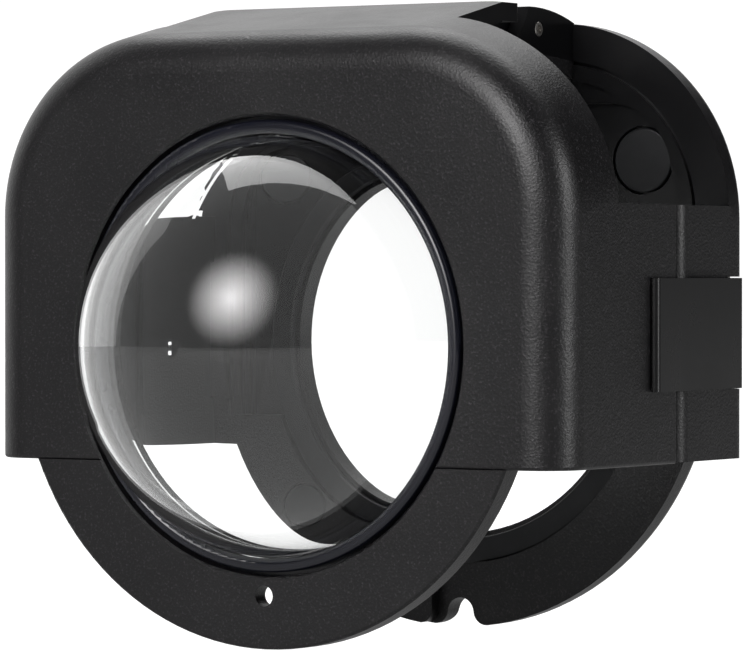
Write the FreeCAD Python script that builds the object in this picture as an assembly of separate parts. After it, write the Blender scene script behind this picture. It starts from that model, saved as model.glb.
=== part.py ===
# Hinged clamp frame with a clear dome window.
#
# A moulded front shell carries the dome. It flips up on a steel pin held between two ears
# of the rear frame, and two side latches hold it shut. The rear frame clamps round a port
# through its round opening.
#
# Frame: the origin is the centre of the rear opening on the back face, +Z is up, +Y is the
# direction from the dome to the back, and X is positive to the right seen from the dome.
import FreeCAD, Part
import math
import os
from FreeCAD import Vector

# ---- overall sizes (mm) ----
depth = 48.5                    # front face of the shell to back face of the rear frame
front_half_width = 40.8
front_top = 37.0                # top of the hood at the front face
crest_top = 41.5                # top of the hood at its crest
hump_flat = 3.9                 # level top wall behind the crest
front_corner = 22.5             # radius of the hood's upper corners
front_edge_round = 5.3          # rounding between the front face and the hood
ring_radius = 36.2              # outer radius of both lower rings
wall_bottom = -14.1             # lower end of the side walls
wall_top = 16.9                 # upper end of the side walls, lower end of the corner windows
plate = 2.2                     # front plate
wall = 2.4                      # moulded side and top walls
corner_end_high = 10.0          # where the corner walls end, at the top
corner_end_low = 13.5           # where the corner walls end, at the side walls
hump_half_width = 20.85         # half width of the top wall behind the corners
rim_lip = 0.9                   # height of the lip behind the plate's lower rim
rim_lip_width = 1.6
soft_edge = 0.4                 # small rounding of moulded edges

# ---- rear frame ----
side_step = 1.4                 # rear frame's sides inside the shell's sides
rear_top = 39.9
rear_corner = 24.5
rear_plate = 4.6
rear_edge_round = 2.5
rear_wall_run = 17.5            # back face to the front end of the rear frame's side walls
seam = 3.15                     # gap between the front and rear side walls
rear_wall_round = 2.2
lip_gap = 0.2                   # inner lip of the rear walls to the shell's walls
lip_overlap = 1.0               # inner lip ahead of the rear end of the shell's walls
opening_radius = 24.33
seat_radius = 28.2              # recess round the opening for the seat gasket
seat_depth = 1.7
rim_width = 4.6                 # raised rim round the upper part of the rear plate
rim_groove = 0.45               # groove between the rim and the bead inside it
rim_bead = 1.95
rim_pocket = 0.7                # depth of the groove and of the pocket inside the bead
device_half_width = 31.3        # inner pocket that centres what is clamped
device_top = 29.8
device_corner = 9.0
device_pocket = 0.9             # further depth of the inner pocket
pocket_bottom = -10.0
notch_half_width = 1.9          # drain notch through the bottom of the ring
notch_top = 32.6                # distance of the notch's roof below the centre
notch_lip = 1.8                 # rounding of the notch's mouth
channel_half_width = 3.3        # channel from the seat to the rim, as deep as the seat
channel_lip = 1.6

# ---- hinge ----
pin_radius = 1.0
pin_from_back = 12.9
hump_to_pin = 11.1              # rear end of the top wall to the pin
pin_height = 38.8
tongue_half_width = 15.0
ear_gap = 0.3
ear_thickness = 2.0
ear_front_top = 2.4             # ear ahead of the pin, along its top
ear_front_low = 5.0             # ear ahead of the pin, at its lower corner
ear_drop = 3.0                  # ear material below the pin
ear_crown_run = 3.6             # pin to a point on the ear's curved top, along Y
ear_crown_drop = 0.4            # that point below the top of the hood
pin_chamfer = 0.15
pin_dimple_radius = 0.5
pin_dimple = 0.6                # depth of the dimple in each end
running_fit = 0.04              # radial play of a turning pin

# ---- dome, bezel and clamp ----
dome_radius = 25.7
hole_gap = 1.8                  # dome to the edge of the front plate's hole
hole_chamfer = 0.3
bezel_reach = 1.3               # dome to the bezel's outer radius
bezel_overhang = 0.35           # bezel's lip inside the dome's radius
bezel_lip = 1.0
bezel_play = 0.3                # dome to the bezel's bore
bezel_round = 0.65
bezel_flange = 1.6
seal_depth = 1.0                # room for the seal in the back of the bezel's flange
dome_wall = 1.0
dome_behind = 5.6               # front face to the centre of the dome's sphere
dome_flange = 1.0
seal_play = 0.05
clamp_ring = 1.2
clamp_clear = 2.3               # dome to the clamp ring's bore
boss_reach = 6.5                # dome to the circle of the clamp screws
clamp_edge = 1.7                # clamp ring outside the circle of its screws
boss_radius = 1.85
boss_gap = 0.15                 # between the bosses and the flanges inside them
screw_count = 6
screw_radius = 0.8
screw_head_radius = 1.5
screw_head = 1.1
screw_slot = 0.4                # width of the cross in each screw head
lanyard_radius = 1.25
lanyard_drop = 29.8             # lanyard hole below the centre
lanyard_clear = 9.0             # half width of the notches behind the lanyard hole

# ---- gasket and pads ----
gasket_inner = 25.0
gasket_play = 0.1
gasket = 1.0
pad_radius = 4.0
upper_pad_x = 26.5
upper_pad_z = 22.7
lower_pad_radius = 3.2
lower_pad_gap = 0.45            # seat to the lower pad
lower_pad_angle = 45.3          # below the horizontal
pad = 1.0
pad_proud = 0.1                 # how far each pad stands out of the frame
pad_edge = 0.25
pad_groove = 0.3                # groove round each pad

# ---- side latches ----
latch_bottom = -5.4
latch_top = 8.1
latch_overlap = 6.65            # latch nose ahead of the rear end of the shell's side wall
latch_proud = 1.05              # latch outside the shell's side wall at the nose
latch_wall_gap = 0.2
latch_round = 0.75
latch_corner_proud = 1.2        # latch outside the rear frame's side at its rear corner
latch_corner_from_back = 3.5
latch_heel_inset = 0.8          # rear end of the latch inside the rear frame's side
latch_heel_from_back = 0.2
latch_corner_round = 0.5
barrel_radius = 2.1
barrel_gap = 0.3
latch_pin_radius = 0.8
latch_pin_inset = 2.0           # pin's axis inside the rear frame's side
latch_pin_from_back = 2.3
latch_pin_grip = 3.0            # length of the pin in the frame past each end of the latch
latch_end_gap = 0.15
latch_boss = 0.9                # thickening of the rear plate in front of each barrel
step_gap = 0.55                 # latch step behind the shell's side wall
nib_radius = 0.8
nib_height = 0.85
nib_from_nose = 3.1
nib_groove = 0.8
groove_play = 0.3

# ---- derived places ----
front = -depth
plate_back = front + plate
rear_half_width = front_half_width - side_step
rear_front = -rear_plate                       # front face of the rear plate
rear_wall_start = -rear_wall_run
front_wall_end = rear_wall_start - seam
pin_y = -pin_from_back
hump_end = pin_y - hump_to_pin
crest_y = hump_end - hump_flat
knuckle_radius = crest_top - pin_height
hood_slope = (crest_top - front_top) / (crest_y - front)
ear_inner = tongue_half_width + ear_gap
ear_outer = ear_inner + ear_thickness
hole_radius = dome_radius + hole_gap
bezel_radius = dome_radius + bezel_reach
bezel_lip_radius = dome_radius - bezel_overhang
bezel_bore = dome_radius + bezel_play
boss_circle = dome_radius + boss_reach
clamp_ring_radius = boss_circle + clamp_edge
clamp_bore = dome_radius + clamp_clear
bezel_back = plate_back + bezel_flange
seal_front = bezel_back - seal_depth
flange_radius = boss_circle - boss_radius - boss_gap
dome_centre_y = front + dome_behind
dome_back = bezel_back + dome_flange
clamp_back = dome_back + clamp_ring
latch_pin_x = rear_half_width - latch_pin_inset
latch_pin_y = -latch_pin_from_back
latch_mid = (latch_bottom + latch_top) / 2
far = 100.0                                    # beyond the whole part


def box(x0, x1, y0, y1, z0, z1):
    """Box between two corners."""
    return Part.makeBox(x1 - x0, y1 - y0, z1 - z0, Vector(x0, y0, z0))


def disc(radius, y0, y1, x=0.0, z=0.0):
    """Cylinder along Y."""
    return Part.makeCylinder(radius, y1 - y0, Vector(x, y0, z), Vector(0, 1, 0))


def ring(inner, outer, y0, y1):
    """Tube along Y round the dome's axis."""
    return disc(outer, y0, y1).cut(disc(inner, y0, y1))


def cross_bar(radius, x0, x1, y, z):
    """Cylinder along X."""
    return Part.makeCylinder(radius, x1 - x0, Vector(x0, y, z), Vector(1, 0, 0))


def mirrored(shape):
    """The same shape on the other side of the plane X = 0."""
    return shape.mirror(Vector(0, 0, 0), Vector(1, 0, 0))


def side_prism(points, x0, x1):
    """Prism along X of an outline given as (y, z) points."""
    corners = [Vector(x0, y, z) for y, z in points]
    outline = Part.makePolygon(corners + corners[:1])
    return Part.Face(outline).extrude(Vector(x1 - x0, 0, 0))


def hood_outline(y, half_width, top, bottom, corner):
    """Closed outline with two rounded upper corners, in the plane at y."""
    low = top - corner
    inner = half_width - corner
    slant = corner * math.sqrt(0.5)
    right = Part.Arc(Vector(half_width, y, low),
                     Vector(inner + slant, y, low + slant),
                     Vector(inner, y, top))
    left = Part.Arc(Vector(-inner, y, top),
                    Vector(-inner - slant, y, low + slant),
                    Vector(-half_width, y, low))
    edges = [
        Part.makeLine(Vector(-half_width, y, bottom), Vector(half_width, y, bottom)),
        Part.makeLine(Vector(half_width, y, bottom), Vector(half_width, y, low)),
        right.toShape(),
        Part.makeLine(Vector(inner, y, top), Vector(-inner, y, top)),
        left.toShape(),
        Part.makeLine(Vector(-half_width, y, low), Vector(-half_width, y, bottom)),
    ]
    return Part.Wire(edges)


def hood_block(y0, y1, half_width, top, bottom, corner):
    """Straight block with a hood outline."""
    outline = hood_outline(y0, half_width, top, bottom, corner)
    return Part.Face(outline).extrude(Vector(0, y1 - y0, 0))


def edges_at(shape, y, above):
    """Edges that lie in the plane at y and reach above a height."""
    found = []
    for edge in shape.Edges:
        bounds = edge.BoundBox
        if abs(bounds.YMin - y) < 1e-4 and abs(bounds.YMax - y) < 1e-4 and bounds.ZMax > above:
            found.append(edge)
    return found


def hood_solid(inset, y0, y1, bottom, edge_round):
    """Tapered hood between two planes, with its front edge rounded; inset moves every side in."""
    ends = []
    for y in (y0, y1):
        top = front_top + hood_slope * (y - front) - inset
        ends.append(hood_outline(y, front_half_width - inset, top, bottom, front_corner - inset))
    solid = Part.makeLoft(ends, True, True)
    return solid.makeFillet(edge_round, edges_at(solid, y0, bottom + soft_edge))


def wall_rims(block):
    """Outer edges at the rear end and along the bottom of the shell's side walls."""
    found = []
    for edge in block.Edges:
        bounds = edge.BoundBox
        upright = bounds.ZLength > wall and bounds.YLength < soft_edge and bounds.XLength < soft_edge
        lengthwise = bounds.YLength > wall and bounds.ZLength < soft_edge
        if abs(bounds.YMax - front_wall_end) < 1e-4 and (upright or lengthwise and bounds.ZMax < 0):
            found.append(edge)
    return found


def hump():
    """Top wall behind the hood's crest, with its rear edge rounded."""
    slab = hood_block(crest_y, hump_end, front_half_width, crest_top, wall_bottom, front_corner)
    slab = slab.common(box(-hump_half_width, hump_half_width, crest_y, hump_end,
                           crest_top - wall, far))
    return slab.makeFillet(soft_edge, edges_at(slab, hump_end, crest_top - soft_edge))


def boss_places():
    """Centres of the clamp screws, as (x, z), clear of the lanyard hole."""
    step = 2 * math.pi / screw_count
    return [(boss_circle * math.cos(step * n), boss_circle * math.sin(step * n))
            for n in range(screw_count)]


def lanyard_notch(y0, y1, top=-lanyard_drop + lanyard_radius + soft_edge):
    """Room behind the lanyard hole in the rings of the dome."""
    return box(-lanyard_clear, lanyard_clear, y0, y1, -far, top)


def corner_windows():
    """Cut that opens both upper corners of the hood, and all the hood behind its crest."""
    hood_end = front_wall_end + plate
    corner = side_prism([(front + corner_end_low, wall_top),
                         (front + corner_end_high, front_top),
                         (front + corner_end_high, far),
                         (hood_end, far),
                         (hood_end, wall_top)], hump_half_width, far)
    return [corner, mirrored(corner), box(-far, far, crest_y, hood_end, wall_top, far)]


def tongue():
    """Hinge tongue of the shell, from the hump to the knuckle round the pin."""
    strap = box(-tongue_half_width, tongue_half_width,
                hump_end - wall, pin_y, crest_top - wall, crest_top)
    knuckle = cross_bar(knuckle_radius, -tongue_half_width, tongue_half_width, pin_y, pin_height)
    rib_half = wall / 2
    under = crest_top - wall
    rib = side_prism([(crest_y - wall, under),
                      (pin_y, under),
                      (pin_y, pin_height - knuckle_radius / 2),
                      (crest_y - wall, under - wall)], -rib_half, rib_half)
    shapes = [strap, knuckle]
    for place in (-tongue_half_width + rib_half, 0, tongue_half_width - rib_half):
        shapes.append(rib.translated(Vector(place, 0, 0)))
    return shapes


def nib_place():
    """Centre of the latch nib, as (y, z)."""
    return front_wall_end - latch_overlap + nib_from_nose, latch_mid


def nib_grooves():
    """Grooves in the shell's side walls along the path of each latch nib as the shell flips."""
    y, z = nib_place()
    reach = math.hypot(y - pin_y, z - pin_height)
    half = nib_radius + groove_play
    inner = front_half_width - nib_groove
    outer = front_half_width + wall
    track = cross_bar(reach + half, inner, outer, pin_y, pin_height)
    track = track.cut(cross_bar(reach - half, inner, outer, pin_y, pin_height))
    track = track.common(box(inner, outer, y - half, front_wall_end + seam, -ring_radius, wall_top))
    return [track, mirrored(track)]


def front_shell():
    """Front plate with its hood, side walls, lower ring, screw bosses and hinge tongue."""
    block = hood_solid(0.0, front, front_wall_end, wall_bottom, front_edge_round)
    block = block.makeFillet(soft_edge, wall_rims(block))
    hollow = hood_solid(wall, plate_back, front_wall_end + plate, wall_bottom - wall,
                        front_edge_round - wall)
    low_ring = disc(ring_radius, front, plate_back + rim_lip)
    low_ring = low_ring.makeFillet(soft_edge, edges_at(low_ring, front, 0))
    low_ring = low_ring.cut(disc(ring_radius - rim_lip_width, plate_back, plate_back + rim_lip))
    low_ring = low_ring.cut(box(-far, far, front, plate_back + rim_lip, wall_bottom, far))
    shell = block.cut([hollow] + corner_windows()).fuse([low_ring, hump()] + tongue())
    bosses = [disc(boss_radius, plate_back, dome_back, x, z) for x, z in boss_places()]
    shell = shell.fuse(bosses)
    screw_holes = [disc(screw_radius, plate_back + soft_edge, dome_back, x, z)
                   for x, z in boss_places()]
    hole = disc(hole_radius, front, plate_back)
    flare = Part.makeCone(hole_radius + hole_chamfer, hole_radius, hole_chamfer,
                          Vector(0, front, 0), Vector(0, 1, 0))
    lanyard = disc(lanyard_radius, front, plate_back + rim_lip, 0, -lanyard_drop)
    pin_hole = cross_bar(pin_radius + running_fit, -far, far, pin_y, pin_height)
    shell = shell.cut([hole, flare, lanyard, pin_hole] + screw_holes + nib_grooves())
    return shell.removeSplitter()


def lens_bezel():
    """Dark ring round the dome, with a flange behind the front plate."""
    collar = ring(bezel_lip_radius, bezel_radius, front, plate_back)
    collar = collar.makeFillet(bezel_round, edges_at(collar, front, 0))
    flange = ring(bezel_bore, flange_radius, plate_back, bezel_back)
    bezel = collar.fuse(flange)
    seal_room = disc(bezel_radius + soft_edge, seal_front, bezel_back)
    bore = disc(bezel_bore, front + bezel_lip, bezel_back)
    return bezel.cut([bore, seal_room, lanyard_notch(plate_back, bezel_back)]).removeSplitter()


def dome_window():
    """Clear dome with the flange that is clamped behind the bezel."""
    centre = Vector(0, dome_centre_y, 0)
    along = Vector(0, 1, 0)
    ball = Part.makeSphere(dome_radius, centre, along)
    flange = disc(flange_radius, bezel_back, dome_back)
    behind = box(-far, far, dome_back, far, -far, far)
    inner = Part.makeSphere(dome_radius - dome_wall, centre, along)
    dome = ball.fuse(flange).cut([behind, inner, lanyard_notch(bezel_back, dome_back)])
    return dome.removeSplitter()


def dome_seal():
    """Rubber ring squeezed between the dome, its flange and the bezel."""
    outer = bezel_radius + soft_edge - seal_play
    inner = dome_radius + seal_play
    seal = ring(inner, outer, seal_front, bezel_back)
    rims = edges_at(seal, seal_front, 0) + edges_at(seal, bezel_back, 0)
    return seal.makeFillet((outer - inner) / 4, rims)


def dome_clamp_ring():
    """Ring, open below the dome, that presses the dome's flange against the bezel."""
    clamp = ring(clamp_bore, clamp_ring_radius, dome_back, clamp_back)
    clamp = clamp.makeFillet(soft_edge, edges_at(clamp, clamp_back, 0))
    holes = [disc(screw_radius + running_fit, dome_back, clamp_back, x, z)
             for x, z in boss_places()]
    return clamp.cut(holes + [lanyard_notch(dome_back, clamp_back, wall_bottom)])


def clamp_ring_screws():
    """Small pan-head screws that hold the clamp ring to the shell's bosses."""
    screws = []
    for x, z in boss_places():
        shank = disc(screw_radius, plate_back + soft_edge, clamp_back, x, z)
        head = disc(screw_head_radius, clamp_back, clamp_back + screw_head, x, z)
        head = head.makeFillet(soft_edge, edges_at(head, clamp_back + screw_head, -far))
        deep = clamp_back + screw_head / 2
        half = screw_slot / 2
        arm = screw_head_radius - soft_edge
        bars = [box(x - arm, x + arm, deep, deep + screw_head, z - half, z + half),
                box(x - half, x + half, deep, deep + screw_head, z - arm, z + arm)]
        screws.append(head.fuse(shank).cut(bars))
    return Part.makeCompound(screws)


def pad_places():
    """The three round pads as (name, x, z, radius)."""
    middle = seat_radius + lower_pad_gap + lower_pad_radius
    angle = math.radians(lower_pad_angle)
    x = middle * math.cos(angle)
    z = -middle * math.sin(angle)
    return [("upper_right_pad", upper_pad_x, upper_pad_z, pad_radius),
            ("upper_left_pad", -upper_pad_x, upper_pad_z, pad_radius),
            ("lower_left_pad", -x, z, lower_pad_radius)]


def pad_floor(z):
    """Y of the surface that a pad is let into."""
    return rear_front + (rim_pocket + device_pocket if z > 0 else 0.0)


def round_pad(x, z, radius):
    """Rubber pad with a rounded front edge."""
    face = pad_floor(z) - pad_proud
    body = disc(radius, face, face + pad, x, z)
    return body.makeFillet(pad_edge, edges_at(body, face, -far))


def flared_slot(half, top, lip, y1):
    """Slot from the rear plate's front to y1 that opens through the ring's rim with round lips."""
    lip_x = half + lip
    lip_z = -math.sqrt((ring_radius - lip) ** 2 - lip_x ** 2)
    straight = box(-half, half, rear_front, y1, -far, top)
    mouth = box(-lip_x, lip_x, rear_front, y1, -far, lip_z)
    lips = [disc(lip, rear_front, y1, side * lip_x, lip_z) for side in (-1, 1)]
    return straight.fuse(mouth).cut(lips)


def drain_slots():
    """Channel from the seat to the rim, and the round-roofed notch through the rest of the plate."""
    channel = flared_slot(channel_half_width, seat_depth - seat_radius, channel_lip,
                          rear_front + seat_depth)
    arch_z = -notch_top - notch_half_width
    notch = flared_slot(notch_half_width, arch_z, notch_lip, 0)
    return [channel, notch, disc(notch_half_width, rear_front, 0, 0, arch_z)]


def ears():
    """The two hinge ears, with curved tops, reaching into the rear plate."""
    inside = rear_front + soft_edge
    top_front = Vector(ear_inner, pin_y - ear_front_top, crest_top)
    crown = Vector(ear_inner, pin_y + ear_crown_run, crest_top - ear_crown_drop)
    top_back = Vector(ear_inner, inside, rear_top)
    below = [top_back,
             Vector(ear_inner, inside, pin_height - 2 * ear_drop),
             Vector(ear_inner, pin_y, pin_height - ear_drop),
             Vector(ear_inner, pin_y - ear_front_low, pin_height - ear_drop / 2),
             top_front]
    edges = [Part.Arc(top_front, crown, top_back).toShape()]
    for start, end in zip(below, below[1:]):
        edges.append(Part.makeLine(start, end))
    right = Part.Face(Part.Wire(edges)).extrude(Vector(ear_thickness, 0, 0))
    return [right, mirrored(right)]


def rear_wall():
    """Right side wall of the rear frame, with its front edge rounded and a lip across the seam."""
    body = box(rear_half_width - wall, rear_half_width,
               rear_wall_start, rear_front + soft_edge, wall_bottom, wall_top)
    front_outer = [edge for edge in body.Edges
                   if edge.BoundBox.ZLength > wall and abs(edge.BoundBox.YMax - rear_wall_start) < 1e-4
                   and edge.BoundBox.XMin > rear_half_width - wall / 2]
    body = body.makeFillet(rear_wall_round, front_outer)
    lip = box(rear_half_width - wall, front_half_width - wall - lip_gap,
              front_wall_end - lip_overlap, rear_front + soft_edge, wall_bottom, wall_top)
    return body.fuse(lip)


def latch_reach():
    """Radius of the room that the right latch needs round its pin."""
    heel = math.hypot(latch_pin_inset - latch_heel_inset, latch_pin_from_back - latch_heel_from_back)
    return max(barrel_radius, heel) + barrel_gap


def latch_boss_right():
    """Thickening that closes the rear plate in front of the right latch's room."""
    return box(latch_pin_x - latch_reach() - latch_boss, rear_half_width - wall + soft_edge,
               rear_front - latch_boss, rear_front + soft_edge,
               latch_bottom - wall, latch_top + wall)


def latch_room():
    """Room for the right latch's barrel in the rear frame."""
    z0 = latch_bottom - latch_end_gap
    z1 = latch_top + latch_end_gap
    reach = latch_reach()
    barrel = Part.makeCylinder(reach, z1 - z0, Vector(latch_pin_x, latch_pin_y, z0))
    outward = box(latch_pin_x, far, latch_pin_y - reach, far, z0, z1)
    backward = box(latch_pin_x - reach, far, latch_pin_y, far, z0, z1)
    return [barrel, outward, backward]


def latch_pin_right():
    """Steel pin of the right latch."""
    z0 = latch_bottom - latch_pin_grip
    length = latch_top - latch_bottom + 2 * latch_pin_grip
    return Part.makeCylinder(latch_pin_radius, length, Vector(latch_pin_x, latch_pin_y, z0))


def rim_block(inset):
    """Block as deep as the rim's pocket, inside the outline of the rear plate."""
    return hood_block(rear_front, rear_front + rim_pocket, rear_half_width - inset,
                      rear_top - inset, pocket_bottom, rear_corner - inset)


def rear_frame():
    """Rear plate with its ring, side walls, ears, pockets, seat and latch rooms."""
    upper = hood_block(rear_front, 0, rear_half_width, rear_top, wall_bottom, rear_corner)
    upper = upper.makeFillet(rear_edge_round, edges_at(upper, 0, wall_bottom + soft_edge))
    low_ring = disc(ring_radius, rear_front, 0)
    low_ring = low_ring.makeFillet(rear_edge_round, edges_at(low_ring, 0, 0))
    low_ring = low_ring.cut(box(-far, far, rear_front, 0, wall_bottom, far))
    right_wall = rear_wall()
    frame = upper.fuse([low_ring, right_wall, mirrored(right_wall)] + ears())
    rim_floor = rear_front + rim_pocket
    rim_cut = rim_block(rim_width).cut(rim_block(rim_width + rim_groove))
    rim_cut = rim_cut.fuse(rim_block(rim_width + rim_groove + rim_bead))
    device_floor = rim_floor + device_pocket
    device_cut = hood_block(rear_front, device_floor, device_half_width, device_top,
                            pocket_bottom, device_corner)
    seat = disc(seat_radius, rear_front - soft_edge, rear_front + seat_depth)
    opening = disc(opening_radius, rear_front, 0)
    frame = frame.cut([rim_cut.cut(Part.makeCompound(ears())), device_cut, seat, opening]
                      + drain_slots())
    pad_seats = []
    for name, x, z, radius in pad_places():
        floor = pad_floor(z)
        pad_seats.append(disc(radius + pad_groove, floor, floor + pad - pad_proud, x, z))
    boss = latch_boss_right()
    frame = frame.fuse([boss, mirrored(boss)])
    room = latch_room()
    rooms = room + [mirrored(shape) for shape in room]
    bores = [latch_pin_right(), mirrored(latch_pin_right()),
             cross_bar(pin_radius, -ear_outer, ear_outer, pin_y, pin_height)]
    return frame.cut(pad_seats + rooms + bores).removeSplitter()


def seat_gasket():
    """Flat rubber gasket in the recess round the rear opening."""
    back = rear_front + seat_depth
    flat = ring(gasket_inner, seat_radius - gasket_play, back - gasket, back)
    return flat.makeFillet(gasket / 4, edges_at(flat, back - gasket, 0))


def hinge_pin():
    """Steel pin across the two ears."""
    pin = cross_bar(pin_radius, -ear_outer, ear_outer, pin_y, pin_height)
    ends = [edge for edge in pin.Edges if edge.BoundBox.XLength < pin_chamfer]
    pin = pin.makeChamfer(pin_chamfer, ends)
    dimple = cross_bar(pin_dimple_radius, ear_outer - pin_dimple, ear_outer, pin_y, pin_height)
    return pin.cut([dimple, mirrored(dimple)])


def upright_edges(shape, x, y):
    """Edges along Z that stand at a point."""
    return [edge for edge in shape.Edges
            if abs(edge.BoundBox.XMin - x) < 1e-4 and abs(edge.BoundBox.XMax - x) < 1e-4
            and abs(edge.BoundBox.YMin - y) < 1e-4 and abs(edge.BoundBox.YMax - y) < 1e-4]


def latch_right():
    """Right latch: barrel on its pin, arm over the rear wall, nose over the shell's wall."""
    height = latch_top - latch_bottom
    nose_outer = front_half_width + latch_proud
    nose_inner = front_half_width + latch_wall_gap
    arm_inner = rear_half_width + latch_wall_gap
    nose_y = front_wall_end - latch_overlap
    step_y = front_wall_end + step_gap
    corner = (rear_half_width + latch_corner_proud, -latch_corner_from_back)
    heel = (rear_half_width - latch_heel_inset, -latch_heel_from_back)
    outline = [(nose_inner, nose_y),
               (nose_outer, nose_y),
               corner,
               heel,
               (latch_pin_x, latch_pin_y),
               (arm_inner, latch_pin_y - barrel_radius),
               (arm_inner, step_y),
               (nose_inner, step_y)]
    corners = [Vector(x, y, latch_bottom) for x, y in outline]
    arm = Part.Face(Part.makePolygon(corners + corners[:1])).extrude(Vector(0, 0, height))
    arm = arm.makeFillet(latch_round, upright_edges(arm, nose_outer, nose_y))
    arm = arm.makeFillet(latch_corner_round, upright_edges(arm, *corner) + upright_edges(arm, *heel))
    barrel = Part.makeCylinder(barrel_radius, height,
                               Vector(latch_pin_x, latch_pin_y, latch_bottom))
    y, z = nib_place()
    nib = cross_bar(nib_radius, nose_inner - nib_height, nose_inner, y, z)
    tip = [edge for edge in nib.Edges
           if edge.BoundBox.XMax < nose_inner - nib_height / 2]
    nib = nib.makeFillet(soft_edge, tip)
    bore = Part.makeCylinder(latch_pin_radius + running_fit, height,
                             Vector(latch_pin_x, latch_pin_y, latch_bottom))
    return arm.fuse([barrel, nib]).cut(bore).removeSplitter()


def write(name, shape):
    """Write one node as STEP."""
    shape.exportStep("parts/" + name + ".step")


os.makedirs("parts", exist_ok=True)
write("front_shell", front_shell())
write("lens_bezel", lens_bezel())
write("dome_window", dome_window())
write("dome_seal", dome_seal())
write("dome_clamp_ring", dome_clamp_ring())
write("clamp_ring_screws", clamp_ring_screws())
write("rear_frame", rear_frame())
write("seat_gasket", seat_gasket())
for pad_name, pad_x, pad_z, radius_of_pad in pad_places():
    write(pad_name, round_pad(pad_x, pad_z, radius_of_pad))
write("hinge_pin", hinge_pin())
write("latch_right", latch_right())
write("latch_left", mirrored(latch_right()))
write("latch_pin_right", latch_pin_right())
write("latch_pin_left", mirrored(latch_pin_right()))
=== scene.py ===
import math

import bpy
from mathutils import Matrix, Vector


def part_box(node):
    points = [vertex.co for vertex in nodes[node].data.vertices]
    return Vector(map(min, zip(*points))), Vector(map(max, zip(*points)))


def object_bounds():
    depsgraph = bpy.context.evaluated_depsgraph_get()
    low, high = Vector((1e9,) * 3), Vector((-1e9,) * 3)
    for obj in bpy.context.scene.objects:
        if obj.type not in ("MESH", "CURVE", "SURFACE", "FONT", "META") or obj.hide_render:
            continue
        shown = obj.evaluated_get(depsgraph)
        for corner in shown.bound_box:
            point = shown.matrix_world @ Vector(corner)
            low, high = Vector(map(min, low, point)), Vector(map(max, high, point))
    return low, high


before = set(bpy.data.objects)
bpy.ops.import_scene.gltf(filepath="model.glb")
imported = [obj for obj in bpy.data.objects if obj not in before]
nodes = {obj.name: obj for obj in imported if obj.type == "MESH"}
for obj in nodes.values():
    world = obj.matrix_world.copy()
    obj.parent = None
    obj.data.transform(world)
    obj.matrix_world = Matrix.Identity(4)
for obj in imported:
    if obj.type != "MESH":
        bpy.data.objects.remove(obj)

mm = 0.001
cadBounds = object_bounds()


# Shared helpers for node trees

def addNode(tree, kind, place, **settings):
    node = tree.nodes.new(kind)
    node.location = place
    for name, value in settings.items():
        setattr(node, name, value)
    return node


def setInputs(node, **values):
    for name, value in values.items():
        node.inputs[name.replace("_", " ")].default_value = value


def newGroup(name, inputs, outputs):
    group = bpy.data.node_groups.new(name, "ShaderNodeTree")
    for label, kind, value in inputs:
        socket = group.interface.new_socket(name=label, in_out="INPUT", socket_type=kind)
        if value is not None:
            socket.default_value = value
    for label, kind in outputs:
        group.interface.new_socket(name=label, in_out="OUTPUT", socket_type=kind)
    groupIn = addNode(group, "NodeGroupInput", (-900, 0))
    groupOut = addNode(group, "NodeGroupOutput", (600, 0))
    return group, groupIn, groupOut


def placeGroup(tree, group, place, **values):
    node = addNode(tree, "ShaderNodeGroup", place)
    node.node_tree = group
    for name, value in values.items():
        node.inputs[name].default_value = value
    return node


def newMaterial(name):
    material = bpy.data.materials.new(name)
    material.use_nodes = True
    tree = material.node_tree
    tree.nodes.clear()
    output = addNode(tree, "ShaderNodeOutputMaterial", (700, 0))
    shader = addNode(tree, "ShaderNodeBsdfPrincipled", (400, 0))
    tree.links.new(shader.outputs["BSDF"], output.inputs["Surface"])
    position = addNode(tree, "ShaderNodeTexCoord", (-900, 0))
    return material, tree, shader, position


# Shader node groups

grainShape = {
    "detail": 3.0,
    "roughness": 0.65,
    "pitSmoothness": 0.6,
    "tipsFrom": 0.55,            # noise above this starts to be a pale grain tip
    "tipsFull": 0.72,
}
marksShape = {
    "detail": 5.0,
    "roughness": 0.6,
    "distortion": 0.4,
    "faintFrom": 0.35,
    "fullFrom": 0.7,
}


def makeGrainGroup(shape):
    # spark-eroded mould texture: height and a mask of its raised grains
    group, groupIn, groupOut = newGroup(
        "mouldGrain",
        [("Vector", "NodeSocketVector", None), ("Scale", "NodeSocketFloat", 3000.0)],
        [("Height", "NodeSocketFloat"), ("Grains", "NodeSocketFloat")])
    links = group.links
    fine = addNode(group, "ShaderNodeTexNoise", (-600, 150))
    setInputs(fine, Detail=shape["detail"], Roughness=shape["roughness"])
    pits = addNode(group, "ShaderNodeTexVoronoi", (-600, -150), feature="SMOOTH_F1")
    setInputs(pits, Smoothness=shape["pitSmoothness"])
    both = addNode(group, "ShaderNodeMath", (-300, 0), operation="MULTIPLY")
    ramp = addNode(group, "ShaderNodeMapRange", (0, 200))
    setInputs(ramp, From_Min=shape["tipsFrom"], From_Max=shape["tipsFull"])
    links.new(groupIn.outputs["Vector"], fine.inputs["Vector"])
    links.new(groupIn.outputs["Vector"], pits.inputs["Vector"])
    links.new(groupIn.outputs["Scale"], fine.inputs["Scale"])
    links.new(groupIn.outputs["Scale"], pits.inputs["Scale"])
    links.new(fine.outputs["Fac"], both.inputs[0])
    links.new(pits.outputs["Distance"], both.inputs[1])
    links.new(fine.outputs["Fac"], ramp.inputs["Value"])
    links.new(both.outputs[0], groupOut.inputs["Height"])
    links.new(ramp.outputs["Result"], groupOut.inputs["Grains"])
    return group


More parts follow.
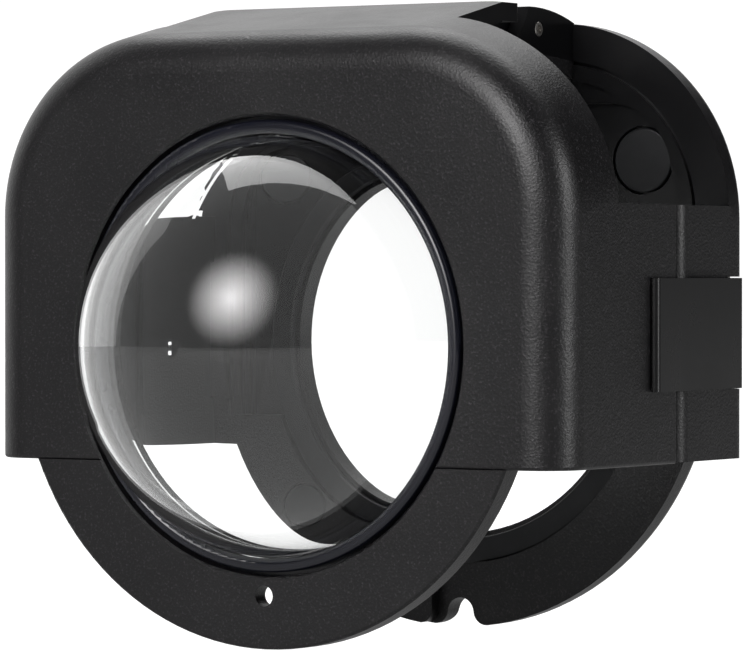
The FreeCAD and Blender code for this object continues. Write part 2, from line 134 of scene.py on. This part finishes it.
def makeHandlingGroup(shape):
    # broad faint smudges that vary roughness
    group, groupIn, groupOut = newGroup(
        "handlingMarks",
        [("Vector", "NodeSocketVector", None), ("Scale", "NodeSocketFloat", 60.0)],
        [("Marks", "NodeSocketFloat")])
    links = group.links
    broad = addNode(group, "ShaderNodeTexNoise", (-600, 0))
    setInputs(broad, Detail=shape["detail"], Roughness=shape["roughness"],
              Distortion=shape["distortion"])
    ramp = addNode(group, "ShaderNodeMapRange", (-200, 0), interpolation_type="SMOOTHSTEP")
    setInputs(ramp, From_Min=shape["faintFrom"], From_Max=shape["fullFrom"])
    links.new(groupIn.outputs["Vector"], broad.inputs["Vector"])
    links.new(groupIn.outputs["Scale"], broad.inputs["Scale"])
    links.new(broad.outputs["Fac"], ramp.inputs["Value"])
    links.new(ramp.outputs["Result"], groupOut.inputs["Marks"])
    return group


grainGroup = makeGrainGroup(grainShape)
handlingGroup = makeHandlingGroup(marksShape)


def mixColor(tree, place, low, high):
    mix = addNode(tree, "ShaderNodeMix", place, data_type="RGBA")
    mix.inputs["A"].default_value = (*low, 1.0)
    mix.inputs["B"].default_value = (*high, 1.0)
    return mix


def mapValue(tree, place, low, high):
    ramp = addNode(tree, "ShaderNodeMapRange", place)
    setInputs(ramp, To_Min=low, To_Max=high)
    return ramp


def texturedPlastic(name, look):
    # moulded plastic with grain, smudges and pale grain tips
    material, tree, shader, position = newMaterial(name)
    links = tree.links
    grain = placeGroup(tree, grainGroup, (-600, 100), Scale=look["grainScale"])
    marks = placeGroup(tree, handlingGroup, (-600, -200), Scale=look["markScale"])
    links.new(position.outputs["Object"], grain.inputs["Vector"])
    links.new(position.outputs["Object"], marks.inputs["Vector"])
    color = mixColor(tree, (-200, 300), look["dark"], look["pale"])
    links.new(grain.outputs["Grains"], color.inputs["Factor"])
    rough = mapValue(tree, (-200, -50), *look["roughness"])
    links.new(marks.outputs["Marks"], rough.inputs["Value"])
    bump = addNode(tree, "ShaderNodeBump", (100, -250))
    setInputs(bump, Strength=look["bumpStrength"], Distance=look["bumpDepth"])
    links.new(grain.outputs["Height"], bump.inputs["Height"])
    links.new(color.outputs["Result"], shader.inputs["Base Color"])
    links.new(rough.outputs["Result"], shader.inputs["Roughness"])
    links.new(bump.outputs["Normal"], shader.inputs["Normal"])
    shader.inputs["IOR"].default_value = look["ior"]
    return material


mouldedBlackLook = {
    "dark": (0.0030, 0.0028, 0.0033),
    "pale": (0.030, 0.0280, 0.031),
    "roughness": (0.37, 0.43),
    "grainScale": 3200.0,
    "markScale": 70.0,
    "bumpStrength": 0.6,
    "bumpDepth": 0.07 * mm,
    "ior": 1.43,
}
# smoother, less grainy black whose darker colour is painted shade for the hinge hump sides,
# ears and rear plate face under the hood
smoothShadedBlackLook = {
    "dark": (0.0014, 0.0014, 0.0018),
    "pale": (0.0035, 0.0034, 0.0042),
    "roughness": (0.30, 0.38),
    "grainScale": 3600.0,
    "markScale": 80.0,
    "bumpStrength": 0.12,
    "bumpDepth": 0.02 * mm,
    "ior": 1.33,
}
latchBlackLook = {
    "dark": (0.0030, 0.0030, 0.0034),
    "pale": (0.0065, 0.0063, 0.0064),
    "roughness": (0.27, 0.34),
    "grainScale": 5200.0,
    "markScale": 110.0,
    "bumpStrength": 0.15,
    "bumpDepth": 0.02 * mm,
    "ior": 1.38,
}
bezelBlackLook = {
    "dark": (0.0060, 0.0065, 0.0110),
    "pale": (0.010, 0.011, 0.017),
    "roughness": (0.22, 0.30),
    "grainScale": 2600.0,
    "markScale": 90.0,
    "bumpStrength": 0.08,
    "bumpDepth": 0.02 * mm,
    "ior": 1.50,
}
innerBlackLook = {
    "dark": (0.004, 0.004, 0.0045),
    "pale": (0.008, 0.008, 0.0085),
    "roughness": (0.42, 0.50),
    "grainScale": 4000.0,
    "markScale": 90.0,
    "bumpStrength": 0.15,
    "bumpDepth": 0.02 * mm,
    "ior": 1.47,
}
rubberLook = {
    "dark": (0.0045, 0.0050, 0.0062),
    "pale": (0.0075, 0.0080, 0.0092),
    "roughness": (0.50, 0.60),
    "grainScale": 2400.0,
    "markScale": 120.0,
    "bumpStrength": 0.10,
    "bumpDepth": 0.03 * mm,
    "ior": 1.42,
}


def steelMaterial(name, look):
    # drawn or plated steel with fine streaks
    material, tree, shader, position = newMaterial(name)
    links = tree.links
    stretch = addNode(tree, "ShaderNodeMapping", (-700, 0))
    stretch.inputs["Scale"].default_value = look["stretch"]
    streaks = addNode(tree, "ShaderNodeTexNoise", (-450, 0))
    setInputs(streaks, Scale=look["scale"], Detail=look["detail"])
    color = mixColor(tree, (-150, 200), look["dark"], look["pale"])
    rough = mapValue(tree, (-150, -50), *look["roughness"])
    bump = addNode(tree, "ShaderNodeBump", (100, -250))
    setInputs(bump, Strength=look["bumpStrength"], Distance=look["bumpDepth"])
    links.new(position.outputs["Object"], stretch.inputs["Vector"])
    links.new(stretch.outputs["Vector"], streaks.inputs["Vector"])
    for socket in (color.inputs["Factor"], rough.inputs["Value"], bump.inputs["Height"]):
        links.new(streaks.outputs["Fac"], socket)
    links.new(color.outputs["Result"], shader.inputs["Base Color"])
    links.new(rough.outputs["Result"], shader.inputs["Roughness"])
    links.new(bump.outputs["Normal"], shader.inputs["Normal"])
    shader.inputs["Metallic"].default_value = 1.0
    return material


pinSteelLook = {
    "dark": (0.36, 0.34, 0.32),
    "pale": (0.72, 0.70, 0.67),
    "roughness": (0.24, 0.38),
    "scale": 1800.0,
    "stretch": (0.15, 1.0, 1.0),
    "detail": 4.0,
    "bumpStrength": 0.2,
    "bumpDepth": 0.01 * mm,
}
screwSteelLook = {
    "dark": (0.30, 0.30, 0.31),
    "pale": (0.55, 0.55, 0.56),
    "roughness": (0.28, 0.42),
    "scale": 1500.0,
    "stretch": (1.0, 0.3, 1.0),
    "detail": 4.0,
    "bumpStrength": 0.2,
    "bumpDepth": 0.01 * mm,
}


def glassMaterial(name, look):
    # clear polished plastic with faint wipe marks
    material, tree, shader, position = newMaterial(name)
    links = tree.links
    marks = placeGroup(tree, handlingGroup, (-600, -100), Scale=look["markScale"])
    rough = mapValue(tree, (-200, -50), *look["roughness"])
    links.new(position.outputs["Object"], marks.inputs["Vector"])
    links.new(marks.outputs["Marks"], rough.inputs["Value"])
    links.new(rough.outputs["Result"], shader.inputs["Roughness"])
    shader.inputs["Base Color"].default_value = (*look["tint"], 1.0)
    shader.inputs["IOR"].default_value = look["ior"]
    shader.inputs["Transmission Weight"].default_value = 1.0
    return material


domeLook = {
    "tint": (0.985, 0.992, 0.99),
    "ior": 1.49,
    "roughness": (0.0, 0.012),
    "markScale": 45.0,
}


def giveMaterial(nodeName, *materials):
    mesh = nodes[nodeName].data
    mesh.materials.clear()
    for material in materials:
        mesh.materials.append(material)


def useSecond(nodeName, belongs):
    # faces that pass the test take the node's second material
    for face in nodes[nodeName].data.polygons:
        if belongs(face.center / mm, face.normal):
            face.material_index = 1


mouldedBlack = texturedPlastic("mouldedBlack", mouldedBlackLook)
smoothShadedBlack = texturedPlastic("smoothShadedBlack", smoothShadedBlackLook)
latchBlack = texturedPlastic("latchBlack", latchBlackLook)
bezelBlack = texturedPlastic("bezelBlack", bezelBlackLook)
innerBlack = texturedPlastic("innerBlack", innerBlackLook)
blackRubber = texturedPlastic("blackRubber", rubberLook)
pinSteel = steelMaterial("pinSteel", pinSteelLook)
screwSteel = steelMaterial("screwSteel", screwSteelLook)
clearDome = glassMaterial("clearDome", domeLook)

for nodeName in ("front_shell", "rear_frame"):
    giveMaterial(nodeName, mouldedBlack, smoothShadedBlack)
for nodeName in ("latch_right", "latch_left"):
    giveMaterial(nodeName, latchBlack)
for nodeName in ("hinge_pin", "latch_pin_right", "latch_pin_left"):
    giveMaterial(nodeName, pinSteel)
for nodeName in ("upper_right_pad", "upper_left_pad", "lower_left_pad", "dome_seal",
                 "seat_gasket"):
    giveMaterial(nodeName, blackRubber)
giveMaterial("lens_bezel", bezelBlack)
giveMaterial("dome_clamp_ring", innerBlack)
giveMaterial("clamp_ring_screws", screwSteel)
giveMaterial("dome_window", clearDome)


# where the darker second black goes: painted shade on the hinge tongue, hump sides, ears and
# rear plate face
smoothShadedZones = {
    "humpEnd": -24.2,        # where the top wall ends and the hinge tongue starts
    "wallEnd": -38.4,        # where the hood's corners end
    "topWall": 36.0,         # lowest part of the top wall
    "plateFront": -2.5,      # rear plate's pockets and rim are ahead of this
    "ringTop": 2.0,
    "earHalfWidth": 17.4,
    "earFront": -4.2,        # the hinge ears are ahead of this
    "sideways": 0.7,         # a face turned this far to the side is a side face
    "faceOn": -0.9,          # and this far to the front, a front face
}


def onHinge(place, normal):
    behindCrest = place.z > smoothShadedZones["topWall"] and place.y > smoothShadedZones["humpEnd"]
    humpSide = (abs(normal.x) > smoothShadedZones["sideways"] and place.z > smoothShadedZones["topWall"]
                and place.y > smoothShadedZones["wallEnd"])
    return behindCrest or humpSide


def onPlateFace(place, normal):
    faceOn = normal.y < smoothShadedZones["faceOn"] and place.y < smoothShadedZones["plateFront"]
    ear = (abs(place.x) < smoothShadedZones["earHalfWidth"] and place.z > smoothShadedZones["topWall"]
           and place.y < smoothShadedZones["earFront"])
    return (faceOn and place.z > smoothShadedZones["ringTop"]) or ear


# these faces take the darker black as painted shade
useSecond("front_shell", onHinge)
useSecond("rear_frame", onPlateFace)
print("materials given")


# Studio

studio = {
    "floorSize": 8.0,
    "glow": 1.05,                # floor and backdrop as the eye sees them
    "floorMirrored": 0.42,       # and as gloss and shade see them
    "backdropMirrored": 1.25,
    "paper": (0.06, 0.06, 0.06),
    "paperRoughness": 0.9,
    "backdropTurn": 238.0,
    "backdropAway": 2.2,
    "backdropWidth": 5.2,
    "backdropHeight": 3.0,
    "skyWhite": 1.05,
    "skyDark": 0.012,
}


def directionFrom(azimuth, elevation):
    # unit vector towards a place seen at this azimuth and elevation, azimuth 0 being in front
    turn = math.radians(azimuth)
    rise = math.radians(elevation)
    return Vector((math.sin(turn) * math.cos(rise), -math.cos(turn) * math.cos(rise),
                   math.sin(rise)))


def whitePaper(name, look, mirrored):
    material, tree, shader = newMaterial(name)[:3]
    rays = addNode(tree, "ShaderNodeLightPath", (-600, 0))
    seen = addNode(tree, "ShaderNodeMath", (-300, 0), operation="MAXIMUM")
    glow = addNode(tree, "ShaderNodeMapRange", (0, 0))
    setInputs(glow, To_Min=look[mirrored], To_Max=look["glow"])
    tree.links.new(rays.outputs["Is Camera Ray"], seen.inputs[0])
    tree.links.new(rays.outputs["Is Transmission Ray"], seen.inputs[1])
    tree.links.new(seen.outputs[0], glow.inputs["Value"])
    tree.links.new(glow.outputs["Result"], shader.inputs["Emission Strength"])
    shader.inputs["Base Color"].default_value = (*look["paper"], 1.0)
    shader.inputs["Roughness"].default_value = look["paperRoughness"]
    shader.inputs["Emission Color"].default_value = (1, 1, 1, 1)
    return material


def makeFloor(look):
    low = cadBounds[0]
    bpy.ops.mesh.primitive_plane_add(size=look["floorSize"], location=(0, 0, low[2]))
    floor = bpy.context.object
    floor.name = "studioFloor"
    floor.data.materials.append(whitePaper("floorPaper", look, "floorMirrored"))


def makeBackdrop(look):
    low = cadBounds[0]
    place = directionFrom(look["backdropTurn"], 0) * look["backdropAway"]
    place.z = low[2] + look["backdropHeight"] / 2
    bpy.ops.mesh.primitive_plane_add(size=1, location=place)
    backdrop = bpy.context.object
    backdrop.name = "studioBackdrop"
    backdrop.scale = (look["backdropWidth"], look["backdropHeight"], 1)
    backdrop.rotation_euler = (math.radians(90), 0, math.radians(look["backdropTurn"]))
    backdrop.data.materials.append(whitePaper("backdropPaper", look, "backdropMirrored"))


def makeSky(look):
    # white to the eye and through the dome, nearly dark in reflections
    world = bpy.data.worlds.new("studioSky")
    bpy.context.scene.world = world
    world.use_nodes = True
    tree = world.node_tree
    tree.nodes.clear()
    output = addNode(tree, "ShaderNodeOutputWorld", (500, 0))
    mix = addNode(tree, "ShaderNodeMixShader", (250, 0))
    white = addNode(tree, "ShaderNodeBackground", (0, 100))
    setInputs(white, Color=(1, 1, 1, 1), Strength=look["skyWhite"])
    dark = addNode(tree, "ShaderNodeBackground", (0, -100))
    setInputs(dark, Color=(1, 1, 1, 1), Strength=look["skyDark"])
    rays = addNode(tree, "ShaderNodeLightPath", (-300, 200))
    seen = addNode(tree, "ShaderNodeMath", (-50, 300), operation="MAXIMUM")
    tree.links.new(rays.outputs["Is Camera Ray"], seen.inputs[0])
    tree.links.new(rays.outputs["Is Transmission Ray"], seen.inputs[1])
    tree.links.new(seen.outputs[0], mix.inputs["Fac"])
    tree.links.new(dark.outputs[0], mix.inputs[1])
    tree.links.new(white.outputs[0], mix.inputs[2])
    tree.links.new(mix.outputs[0], output.inputs["Surface"])


softboxes = {
    "rightStrip": {"azimuth": 92.0, "elevation": 10.0, "away": 1.2,
                   "width": 0.26, "height": 0.8, "power": 8.0},
    "topBox": {"azimuth": 202.0, "elevation": 67.0, "away": 1.2,
               "width": 1.1, "height": 0.8, "power": 12.0},
}


def makeSoftboxes(looks):
    for name, look in looks.items():
        place = directionFrom(look["azimuth"], look["elevation"]) * look["away"]
        bpy.ops.object.light_add(type="AREA", location=place)
        box = bpy.context.object
        box.name = name
        box.data.shape = "RECTANGLE"
        box.data.size = look["width"]
        box.data.size_y = look["height"]
        box.data.energy = look["power"]
        box.rotation_euler = (-box.location).to_track_quat("-Z", "Y").to_euler()
        box.visible_camera = False
        box.visible_transmission = False


keyLook = {
    "azimuth": 0.0,
    "elevation": 24.0,
    "away": 1.2,
    "radius": 0.55,
    "power": 22.0,               # brightness at its middle
    "falloff": 1.5,
    "tint": (1.0, 0.985, 0.99),
    "sides": 64,
}


def makeKey(look):
    # round diffuser that fades from its middle to its rim
    place = directionFrom(look["azimuth"], look["elevation"]) * look["away"]
    bpy.ops.mesh.primitive_circle_add(vertices=look["sides"], radius=1, fill_type="NGON",
                                      location=place)
    key = bpy.context.object
    key.name = "keyDiffuser"
    key.scale = (look["radius"],) * 3
    key.rotation_euler = (-key.location).to_track_quat("Z", "Y").to_euler()
    material, tree, shader, position = newMaterial("keyGlow")
    fade = addNode(tree, "ShaderNodeTexGradient", (-600, 0), gradient_type="SPHERICAL")
    curve = addNode(tree, "ShaderNodeMath", (-300, 0), operation="POWER")
    curve.inputs[1].default_value = look["falloff"]
    strength = addNode(tree, "ShaderNodeMath", (0, 0), operation="MULTIPLY")
    strength.inputs[1].default_value = look["power"]
    tree.links.new(position.outputs["Object"], fade.inputs["Vector"])
    tree.links.new(fade.outputs["Fac"], curve.inputs[0])
    tree.links.new(curve.outputs[0], strength.inputs[0])
    tree.links.new(strength.outputs[0], shader.inputs["Emission Strength"])
    shader.inputs["Base Color"].default_value = (0, 0, 0, 1)
    shader.inputs["Emission Color"].default_value = (*look["tint"], 1.0)
    key.data.materials.append(material)
    key.visible_camera = False
    key.visible_transmission = False


def makeCamera(look):
    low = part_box("lens_bezel")[0]
    subject = Vector((0, low.y, 0))
    back = directionFrom(look["azimuth"], look["elevation"])
    camera = bpy.data.cameras.new("viewCamera")
    camera.lens = look["lens"]
    camera.sensor_width = look["sensor"]
    camera.clip_start = look["clipStart"]
    viewer = bpy.data.objects.new("viewCamera", camera)
    bpy.context.scene.collection.objects.link(viewer)
    viewer.location = subject + back * look["distance"]
    right = Vector((math.cos(math.radians(look["azimuth"])),
                    math.sin(math.radians(look["azimuth"])), 0))
    up = back.cross(right)
    aim = -back + right * math.tan(look["turnRight"]) + up * math.tan(look["turnUp"])
    viewer.rotation_euler = aim.to_track_quat("-Z", "Y").to_euler()
    bpy.context.scene.camera = viewer


cameraLook = {
    "azimuth": 33.31,
    "elevation": 0.92,
    "distance": 573.0 * mm,
    "lens": 232.0,
    "sensor": 36.0,
    "turnRight": math.radians(1.302),
    "turnUp": math.radians(0.234),
    "clipStart": 0.01,
}

bpy.ops.object.select_all(action="DESELECT")
makeFloor(studio)
makeBackdrop(studio)
makeSky(studio)
makeSoftboxes(softboxes)
makeKey(keyLook)
makeCamera(cameraLook)
bpy.context.scene.view_settings.view_transform = "Standard"
print("studio ready")
